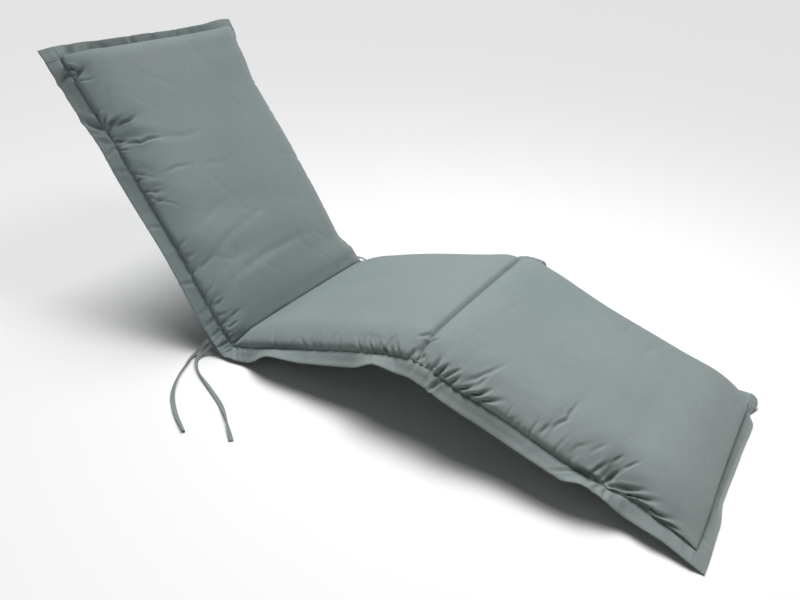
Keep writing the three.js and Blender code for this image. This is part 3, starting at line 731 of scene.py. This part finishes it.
def stations(start, length, spacing, stretches, fine):
    """Places between two seams, close together beside each seam and on the stretches given."""
    close = np.array(BESIDE_SEAM)
    spot = np.linspace(close[-1], length - close[-1], STATION_SAMPLES)
    inside = np.zeros(spot.shape)
    for low, high in stretches:
        begun = smooth_share(start + spot, low - STRETCH_BLEND, low)
        ended = smooth_share(start + spot, high, high + STRETCH_BLEND)
        inside = np.maximum(inside, begun * (1 - ended))
    gap = spacing + (fine - spacing) * inside
    count = np.concatenate([[0], np.cumsum(np.diff(spot) / gap[1:])])
    steps = int(round(count[-1]))
    middle = np.interp(np.linspace(0, count[-1], steps + 1)[1:-1], count, spot)
    return start + np.concatenate([close, middle, (length - close)[::-1]])


def with_flange(places):
    """The places with a flange's width added before and after, and the share of its reach at each."""
    shares = np.array(FLANGE_SHARES)
    place = np.concatenate([np.full(len(shares), places[0]), places, np.full(len(shares), places[-1])])
    past = np.concatenate([shares, np.zeros(len(places)), shares[::-1]])
    return place, past


def ring_faces(rings, size):
    """Quads of a body made of closed rings, each ring the upper line and then the under line back."""
    i, j = np.meshgrid(np.arange(rings - 1), np.arange(size), indexing="ij")
    a, b = i * size + j, i * size + (j + 1) % size
    walls = np.stack([a, a + size, b + size, b], -1).reshape(-1, 4)
    k = np.arange(size // 2 - 1)
    first = np.stack([size - 1 - k, k, k + 1, size - 2 - k], -1)
    last = (rings - 1) * size + first[:, ::-1]
    return np.concatenate([walls, first, last])


def mesh_object(name, points, faces, uv, material):
    """A smooth-shaded object from points in millimetres, quads and a cloth UV in metres."""
    mesh = bpy.data.meshes.new(name)
    mesh.vertices.add(len(points))
    mesh.vertices.foreach_set("co", (points * MM).ravel())
    mesh.loops.add(faces.size)
    mesh.loops.foreach_set("vertex_index", faces.ravel())
    mesh.polygons.add(len(faces))
    mesh.polygons.foreach_set("loop_start", np.arange(0, faces.size, faces.shape[1]))
    mesh.polygons.foreach_set("use_smooth", np.ones(len(faces), bool))
    mesh.update(calc_edges=True)
    layer = mesh.uv_layers.new(name="cloth")
    layer.data.foreach_set("uv", (uv * MM)[faces.ravel()].ravel())
    mesh.validate()
    mesh.materials.append(material)
    item = bpy.data.objects.new(name, mesh)
    bpy.context.scene.collection.objects.link(item)
    return item


def cover_grid():
    """The cover's points, faces and flat places. A ring runs over the upper face and back under it."""
    start = 0
    along = []
    for pad in PADS:
        along.append(stations(start, pad[0], ALONG_SPACING, CREASED_STRETCHES, CREASED_SPACING))
        start += pad[0]
    along = np.concatenate([along[0], along[1][1:], along[2][1:]])
    along, along_past = with_flange(along)
    band = ((-HALF_WIDTH, NEAR_BAND - HALF_WIDTH),)
    across, across_past = with_flange(stations(-HALF_WIDTH, PAD_WIDTH, ACROSS_SPACING, band, NEAR_SPACING))
    grid = np.broadcast_arrays(along[:, None], along_past[:, None], across[None], across_past[None])
    over = cover_face(*[np.array(g) for g in grid], 1)
    under = cover_face(*[np.array(g) for g in grid], -1)
    rim = len(FLANGE_SHARES)
    inside = (slice(rim, -rim), slice(rim, -rim))
    flat = grid[0][inside], grid[2][inside]
    creased = (
        (over, 1, CREASES + tuple(faint_creases(CREASE_SEED))),
        (under, -1, faint_creases(CREASE_SEED + 1)),
    )
    for face, side, creases in creased:
        height = np.abs(face_offset(*flat, side)) - HALF_FLANGE
        sunk = crease_depths(creases, *flat, height)
        face[inside] -= side * grid_normals(face[inside]) * sunk[..., None]
    held = np.zeros(flat[0].shape, bool)
    held[[0, -1]] = True
    held[:, [0, -1]] = True
    held |= np.isclose(flat[0], KNEE_AT) | (np.abs(flat[0] - FOLD_AT) < HELD_AT_FOLD)
    over[inside] = relaxed(over[inside], *flat, held, RELAX_SEED)
    resting = held | (under[inside][..., 2] < 1e-3)
    under[inside] = relaxed(under[inside], *flat, resting, RELAX_SEED + 1)
    under[..., 2] = np.maximum(under[..., 2], 0)
    points = np.concatenate([over, under[:, ::-1]], 1)
    flat_along = grid[0] + np.where(grid[0] < FOLD_AT, -1, 1) * grid[1] * FLANGE_WIDTH
    flat_across = grid[2] + np.sign(grid[2]) * grid[3] * FLANGE_WIDTH
    flat = np.stack([flat_along, flat_across], -1)
    flat = np.concatenate([flat, flat[:, ::-1]], 1)
    faces = ring_faces(points.shape[0], points.shape[1])
    return points.reshape(-1, 3), faces, flat.reshape(-1, 2)


def route_curve(rows, steps):
    """A centripetal Catmull-Rom curve through the route's rows, at even spacing along its length."""
    rows = np.array(rows, float)
    points = rows[:, :3]
    ends = np.concatenate([[2 * points[0] - points[1]], points, [2 * points[-1] - points[-2]]])
    spot = np.linspace(0, len(points) - 1, ROUTE_SAMPLES)
    row = np.minimum(spot.astype(int), len(points) - 2)
    t = (spot - row)[:, None]
    p0, p1, p2, p3 = (ends[row + k] for k in range(4))
    d0, d1, d2 = (np.sqrt(np.linalg.norm(b - a, axis=1))[:, None] for a, b in ((p0, p1), (p1, p2), (p2, p3)))
    m1 = ((p1 - p0) / d0 - (p2 - p0) / (d0 + d1) + (p2 - p1) / d1) * d1
    m2 = ((p2 - p1) / d1 - (p3 - p1) / (d1 + d2) + (p3 - p2) / d2) * d1
    line = (2 * t**3 - 3 * t**2 + 1) * p1 + (t**3 - 2 * t**2 + t) * m1
    line = line + (3 * t**2 - 2 * t**3) * p2 + (t**3 - t**2) * m2
    run = np.concatenate([[0], np.cumsum(np.linalg.norm(np.diff(line, axis=0), axis=1))])
    at = np.linspace(0, run[-1], steps + 1)
    centre = np.stack([np.interp(at, run, line[:, k]) for k in range(3)], -1)
    spot = np.interp(at, run, spot)
    turn = np.interp(spot, np.arange(len(rows)), rows[:, 3])
    return centre, np.radians(turn), run[-1]


def tape_rings(rows, width):
    """Rings of a flat tape: a flattened superellipse carried along the route and turned about its run."""
    centre, turn, length = route_curve(rows, TAPE_STEPS)
    tangent = np.gradient(centre, axis=0)
    tangent /= np.linalg.norm(tangent, axis=1)[:, None]
    lifted = (np.abs(np.sin(turn)) * width + np.cos(turn) * TAPE_THICKNESS) / 2
    centre[:, 2] = np.maximum(centre[:, 2], 0) + lifted + TAPE_FLOOR_GAP
    level = np.stack([-tangent[:, 1], tangent[:, 0], np.zeros(len(tangent))], -1)
    level /= np.linalg.norm(level, axis=1)[:, None]
    crossed = np.cross(tangent, level)
    flat = level * np.cos(turn)[:, None] + crossed * np.sin(turn)[:, None]
    thick = np.cross(tangent, flat)
    across = np.array(TAPE_ACROSS)
    half = np.sqrt(np.clip(1 - across**6, 0, 1)) * 0.5 * TAPE_THICKNESS
    half = np.maximum(half, TAPE_EDGE * TAPE_THICKNESS)
    across_all = np.concatenate([across, across[::-1]]) * width / 2
    half_all = np.concatenate([half, -half[::-1]])
    rings = centre[:, None] + flat[:, None] * across_all[None, :, None]
    rings = rings + thick[:, None] * half_all[None, :, None]
    along = np.linspace(0, length, TAPE_STEPS + 1)
    uv = np.stack(np.broadcast_arrays(along[:, None], across_all[None]), -1)
    faces = ring_faces(rings.shape[0], rings.shape[1])
    real_length = np.linalg.norm(np.diff(centre, axis=0), axis=1).sum()
    return rings.reshape(-1, 3), faces, uv.reshape(-1, 2), centre, real_length


# Materials
class Nodes:
    """A node tree with short calls for the nodes that the cloths are made of."""

    def __init__(self, tree):
        self.tree = tree

    def new(self, kind, **values):
        node = self.tree.nodes.new(kind)
        for name, value in values.items():
            setattr(node, name, value)
        return node

    def put(self, value, socket):
        if isinstance(value, bpy.types.NodeSocket):
            self.tree.links.new(value, socket)
        else:
            socket.default_value = value

    def math(self, operation, a, b=0.0, c=0.0, clamp=False):
        node = self.new("ShaderNodeMath", operation=operation, use_clamp=clamp)
        for value, socket in zip((a, b, c), node.inputs):
            self.put(value, socket)
        return node.outputs[0]

    def noise(self, vector, scale, detail=2.0, roughness=0.5):
        node = self.new("ShaderNodeTexNoise")
        self.put(vector, node.inputs["Vector"])
        node.inputs["Scale"].default_value = scale
        node.inputs["Detail"].default_value = detail
        node.inputs["Roughness"].default_value = roughness
        return node.outputs["Fac"]

    def mix(self, share, a, b):
        node = self.new("ShaderNodeMix", data_type="RGBA")
        for value, socket in zip((share, a, b), (node.inputs[0], node.inputs[6], node.inputs[7])):
            self.put(value, socket)
        return node.outputs[2]

    def spread(self, value, low, high, to_low, to_high):
        node = self.new("ShaderNodeMapRange")
        for value, socket in zip((value, low, high, to_low, to_high), node.inputs):
            self.put(value, socket)
        return node.outputs[0]


def group_with(name, inputs, outputs):
    """A new shader node group with its named sockets, ready for its nodes."""
    tree = bpy.data.node_groups.new(name, "ShaderNodeTree")
    for label, kind, value in inputs:
        socket = tree.interface.new_socket(name=label, in_out="INPUT", socket_type=kind)
        if value is not None:
            socket.default_value = value
    for label, kind in outputs:
        tree.interface.new_socket(name=label, in_out="OUTPUT", socket_type=kind)
    nodes = Nodes(tree)
    return nodes, nodes.new("NodeGroupInput").outputs, nodes.new("NodeGroupOutput").inputs


def weave_group():
    """Plain weave from the cloth's UV: warp and weft half-waves, one over the other in a chequer."""
    nodes, given, made = group_with(
        "plain weave",
        (
            ("Cloth UV", "NodeSocketVector", None),
            ("Yarns per metre", "NodeSocketFloat", 1100.0),
            ("Slub", "NodeSocketFloat", 0.5),
        ),
        (("Height", "NodeSocketFloat"), ("Yarn tone", "NodeSocketFloat")),
    )
    split = nodes.new("ShaderNodeSeparateXYZ")
    nodes.put(given["Cloth UV"], split.inputs[0])
    u = nodes.math("MULTIPLY", split.outputs[0], given["Yarns per metre"])
    v = nodes.math("MULTIPLY", split.outputs[1], given["Yarns per metre"])
    warp = nodes.math("ABSOLUTE", nodes.math("SINE", nodes.math("MULTIPLY", u, np.pi)))
    weft = nodes.math("ABSOLUTE", nodes.math("SINE", nodes.math("MULTIPLY", v, np.pi)))
    cell = nodes.math("ADD", nodes.math("FLOOR", u), nodes.math("FLOOR", v))
    over = nodes.math("FLOORED_MODULO", cell, 2.0)
    under = nodes.math("SUBTRACT", 1.0, over)
    height = nodes.math("ADD", nodes.math("MULTIPLY", warp, over), nodes.math("MULTIPLY", weft, under))
    nodes.put(height, made["Height"])

    def yarns(stretch_u, stretch_v):
        node = nodes.new("ShaderNodeVectorMath", operation="MULTIPLY")
        nodes.put(given["Cloth UV"], node.inputs[0])
        node.inputs[1].default_value = (stretch_u, stretch_v, 1.0)
        return nodes.noise(node.outputs[0], 1.0, 1.0)

    tone = nodes.math("ADD", yarns(900.0, 28.0), yarns(28.0, 900.0))
    tone = nodes.math("MULTIPLY", nodes.math("SUBTRACT", tone, 1.0), given["Slub"])
    nodes.put(tone, made["Yarn tone"])
    return nodes.tree


def stitch_group():
    """Rows of thread along a seam: a dash pattern along it times a thin band across it."""
    nodes, given, made = group_with(
        "stitch row",
        (
            ("Along", "NodeSocketFloat", 0.0),
            ("Off the row", "NodeSocketFloat", 0.0),
            ("Stitches per metre", "NodeSocketFloat", 290.0),
            ("Thread", "NodeSocketFloat", 0.0006),
        ),
        (("Thread mask", "NodeSocketFloat"), ("Sunk", "NodeSocketFloat")),
    )
    phase = nodes.math("FRACT", nodes.math("MULTIPLY", given["Along"], given["Stitches per metre"]))
    dash = nodes.math("COMPARE", phase, 0.5, 0.34)
    off = nodes.math("ABSOLUTE", given["Off the row"])
    band = nodes.math("LESS_THAN", off, given["Thread"])
    nodes.put(nodes.math("MULTIPLY", dash, band), made["Thread mask"])
    wide = nodes.math("MULTIPLY", given["Thread"], 4.0)
    sunk = nodes.math("SUBTRACT", 1.0, nodes.math("DIVIDE", off, wide), clamp=True)
    nodes.put(sunk, made["Sunk"])
    return nodes.tree


def call_group(nodes, tree, **inputs):
    """Places a node group and feeds it by its sockets' names."""
    node = nodes.new("ShaderNodeGroup", node_tree=tree)
    for name, value in inputs.items():
        nodes.put(value, node.inputs[name.replace("_", " ")])
    return node.outputs


def cloth_material(name, weave, stitch, colour, tape=False):
    """Matt woven cloth: weave, uneven yarns, slow change of tone and stitch rows."""
    material = bpy.data.materials.new(name)
    material.use_nodes = True
    nodes = Nodes(material.node_tree)
    shader = material.node_tree.nodes["Principled BSDF"]
    uv = nodes.new("ShaderNodeUVMap", uv_map="cloth").outputs[0]
    body = nodes.new("ShaderNodeTexCoord").outputs["Object"]
    split = nodes.new("ShaderNodeSeparateXYZ")
    nodes.put(uv, split.inputs[0])
    along, across = split.outputs[0], split.outputs[1]
    pattern = call_group(nodes, weave, Cloth_UV=uv, Yarns_per_metre=TAPE_YARNS if tape else COVER_YARNS)

    patches = nodes.noise(body, 5.0, 3.0, 0.55)
    specks = nodes.noise(uv, 420.0, 3.0, 0.75)
    tone = nodes.spread(patches, 0.3, 0.7, 0.955, 1.045)
    tone = nodes.math("ADD", tone, nodes.math("MULTIPLY", pattern["Yarn tone"], 0.4))
    tone = nodes.math("ADD", tone, nodes.spread(specks, 0.3, 0.7, -0.075, 0.075))
    tinted = nodes.mix(nodes.spread(nodes.noise(body, 2.2, 1.0), 0.35, 0.65, 0.0, 1.0), *colour)
    scaled = nodes.new("ShaderNodeVectorMath", operation="SCALE")
    nodes.put(tinted, scaled.inputs[0])
    nodes.put(tone, scaled.inputs["Scale"])
    base = scaled.outputs[0]
    height = nodes.math("MULTIPLY", pattern["Height"], 0.25)

    if not tape:
        beyond = nodes.math("SUBTRACT", nodes.math("ABSOLUTE", across), HALF_WIDTH * MM)
        middle = TOTAL_LENGTH * MM / 2
        from_middle = nodes.math("ABSOLUTE", nodes.math("SUBTRACT", along, middle))
        past_end = nodes.math("SUBTRACT", from_middle, middle)
        outer = nodes.math("MAXIMUM", beyond, past_end)
        on_side = nodes.math("GREATER_THAN", beyond, past_end)
        on_end = nodes.math("SUBTRACT", 1.0, on_side)
        run = nodes.math("MULTIPLY", along, on_side)
        run = nodes.math("ADD", run, nodes.math("MULTIPLY", across, on_end))
        off = nodes.math("SUBTRACT", outer, STITCH_ROW_AT)
        made = call_group(nodes, stitch, Along=run, Off_the_row=off)
        base = nodes.mix(nodes.math("MULTIPLY", made[0], 0.2), base, THREAD_COLOUR)
        height = nodes.math("SUBTRACT", height, nodes.math("MULTIPLY", made[1], 0.25))
        height = nodes.math("ADD", height, nodes.math("MULTIPLY", made[0], 0.4))

    nodes.put(base, shader.inputs["Base Color"])
    nodes.put(nodes.spread(nodes.noise(body, 30.0, 2.0), 0.3, 0.7, 0.78, 0.9), shader.inputs["Roughness"])
    bump = nodes.new("ShaderNodeBump")
    bump.inputs["Strength"].default_value = 0.5
    bump.inputs["Distance"].default_value = 0.0005
    nodes.put(height, bump.inputs["Height"])
    nodes.put(bump.outputs[0], shader.inputs["Normal"])
    shader.inputs["Specular IOR Level"].default_value = 0.3
    shader.inputs["Sheen Weight"].default_value = 0.12
    shader.inputs["Sheen Roughness"].default_value = 0.5
    return material


def plain_material(name, colour, roughness):
    """An even, matt paint."""
    material = bpy.data.materials.new(name)
    material.use_nodes = True
    shader = material.node_tree.nodes["Principled BSDF"]
    shader.inputs["Base Color"].default_value = colour
    shader.inputs["Roughness"].default_value = roughness
    return material


def shared_group(name, make):
    """A node group that is built once and used by every material that needs it."""
    return bpy.data.node_groups.get(name) or make()


class CoverSettings(bpy.types.PropertyGroup):
    colour: bpy.props.FloatVectorProperty(
        name="Cover colour", description="Main tone of the cover's cloth",
        default=(0.198, 0.245, 0.246, 1.0), size=4, subtype="COLOR", min=0, max=1,
    )
    second_colour: bpy.props.FloatVectorProperty(
        name="Second tone", description="Tone that the cloth drifts towards in places",
        default=(0.209, 0.245, 0.239, 1.0), size=4, subtype="COLOR", min=0, max=1,
    )
    fill: bpy.props.FloatProperty(
        name="Fill", description="How tightly the pads are filled, from slack to full",
        default=0.6, min=0, max=1, subtype="FACTOR",
    )


class TapeSettings(bpy.types.PropertyGroup):
    width: bpy.props.FloatProperty(
        name="Tape width", description="Width of the tie tapes",
        default=0.009, min=0.004, max=0.02, subtype="DISTANCE", unit="LENGTH",
    )
    colour: bpy.props.FloatVectorProperty(
        name="Tape colour", description="Main tone of the tie tapes",
        default=(0.2, 0.235, 0.235, 1.0), size=4, subtype="COLOR", min=0, max=1,
    )


class StageSettings(bpy.types.PropertyGroup):
    floor_colour: bpy.props.FloatVectorProperty(
        name="Floor colour", description="Tone of the floor",
        default=(0.82, 0.82, 0.82, 1.0), size=4, subtype="COLOR", min=0, max=1,
    )
    key_power: bpy.props.FloatProperty(
        name="Overhead light", description="Strength of the broad soft light above the cushion",
        default=2.75, min=0,
    )
    softbox_power: bpy.props.FloatProperty(
        name="Softbox", description="Power of the softbox above the knee",
        default=9.0, min=0, subtype="POWER", unit="POWER",
    )


class LOUNGER_OT_tie_tapes(bpy.types.Operator):
    """Make the four tie tapes that leave the hem beside the fold"""
    bl_idname = "lounger.tie_tapes"
    bl_label = "Tie tapes"

    def execute(self, context):
        settings = context.scene.lounger_tapes
        weave = shared_group("plain weave", weave_group)
        stitch = shared_group("stitch row", stitch_group)
        colour = (tuple(settings.colour), tuple(settings.colour))
        tape = cloth_material("tie tape", weave, stitch, colour, tape=True)
        for name, rows in TIE_ROUTES.items():
            points, faces, uv, centre, length = tape_rings(rows, settings.width / MM)
            item = mesh_object("tape_" + name, points, faces, uv, tape)
            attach(item, "root")
            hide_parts(name)
        return {"FINISHED"}


class LOUNGER_OT_cover(bpy.types.Operator):
    """Make the padded cover with its channels, folds and hem"""
    bl_idname = "lounger.cover"
    bl_label = "Padded cover"

    def execute(self, context):
        settings = context.scene.lounger_cover
        weave = shared_group("plain weave", weave_group)
        stitch = shared_group("stitch row", stitch_group)
        colour = (tuple(settings.colour), tuple(settings.second_colour))
        cloth = cloth_material("cover cloth", weave, stitch, colour)
        points, faces, uv = cover_grid()
        item = mesh_object("padded_cover", points, faces, uv, cloth)
        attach(item, "root")
        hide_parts("cushion")
        return {"FINISHED"}


class LOUNGER_OT_camera(bpy.types.Operator):
    """Place the camera at the photograph's viewing angle"""
    bl_idname = "lounger.camera"
    bl_label = "Camera"

    def execute(self, context):
        data = bpy.data.cameras.new("camera")
        data.lens = CAMERA_LENS
        data.sensor_width = CAMERA_SENSOR
        data.clip_end = CAMERA_REACH
        camera = bpy.data.objects.new("camera", data)
        aim = Vector(CAMERA_AIM) - Vector(CAMERA_AT)
        turn = aim.to_track_quat("-Z", "Y").to_matrix().to_4x4() @ Matrix.Rotation(CAMERA_ROLL, 4, "Z")
        camera.matrix_world = Matrix.Translation(CAMERA_AT) @ turn
        context.scene.collection.objects.link(camera)
        context.scene.camera = camera
        return {"FINISHED"}


class LOUNGER_OT_stage(bpy.types.Operator):
    """Make the pale floor and the soft studio light"""
    bl_idname = "lounger.stage"
    bl_label = "Stage"

    def execute(self, context):
        settings = context.scene.lounger_stage
        corners = np.array([(-1, -1, 0), (1, -1, 0), (1, 1, 0), (-1, 1, 0)], float) * FLOOR_HALF_WIDTH
        corners[:, 2] = FLOOR_LEVEL
        paint = plain_material("floor", tuple(settings.floor_colour), 0.9)
        floor = mesh_object("floor", corners, np.array([[0, 1, 2, 3]]), corners[:, :2], paint)
        data = bpy.data.lights.new("overhead", "SUN")
        data.angle = KEY_SOFTNESS
        data.energy = settings.key_power
        light = bpy.data.objects.new("overhead", data)
        light.rotation_euler = (-Vector(KEY_FROM)).to_track_quat("-Z", "Y").to_euler()
        context.scene.collection.objects.link(light)
        data = bpy.data.lights.new("softbox", "AREA")
        data.shape = "DISK"
        data.size = SOFTBOX_WIDTH
        data.energy = settings.softbox_power
        light = bpy.data.objects.new("softbox", data)
        light.location = SOFTBOX_AT
        context.scene.collection.objects.link(light)
        world = bpy.data.worlds.new("studio")
        world.use_nodes = True
        sky = Nodes(world.node_tree)
        seen = sky.new("ShaderNodeLightPath").outputs["Is Camera Ray"]
        background = world.node_tree.nodes["Background"]
        background.inputs[0].default_value = (1, 1, 1, 1)
        sky.put(sky.spread(seen, 0.0, 1.0, WORLD_LIGHT, WORLD_TONE), background.inputs[1])
        context.scene.world = world
        context.scene.view_settings.view_transform = "Standard"
        return {"FINISHED"}


class LOUNGER_PT_panel(bpy.types.Panel):
    """The cushion's pieces, one button each"""
    bl_idname = "LOUNGER_PT_panel"
    bl_label = "Lounger cushion"
    bl_space_type = "VIEW_3D"
    bl_region_type = "UI"
    bl_category = "Lounger"

    def draw(self, context):
        scene = context.scene
        for settings in (scene.lounger_cover, scene.lounger_tapes, scene.lounger_stage):
            for name in settings.__annotations__:
                self.layout.prop(settings, name)
        for operator in OPERATORS:
            self.layout.operator(operator.bl_idname)


SETTINGS = {
    "lounger_cover": CoverSettings,
    "lounger_tapes": TapeSettings,
    "lounger_stage": StageSettings,
}
OPERATORS = (LOUNGER_OT_camera, LOUNGER_OT_tie_tapes, LOUNGER_OT_cover, LOUNGER_OT_stage)
CLASSES = (*SETTINGS.values(), *OPERATORS, LOUNGER_PT_panel)


def register():
    for item in CLASSES:
        bpy.utils.register_class(item)
    for name, settings in SETTINGS.items():
        setattr(bpy.types.Scene, name, bpy.props.PointerProperty(type=settings))


def unregister():
    for name in SETTINGS:
        delattr(bpy.types.Scene, name)
    for item in reversed(CLASSES):
        bpy.utils.unregister_class(item)


def main():
    register()
    bpy.ops.lounger.camera()
    bpy.ops.lounger.tie_tapes()
    bpy.ops.lounger.cover()
    bpy.ops.lounger.stage()


if __name__ == "__main__":
    main()
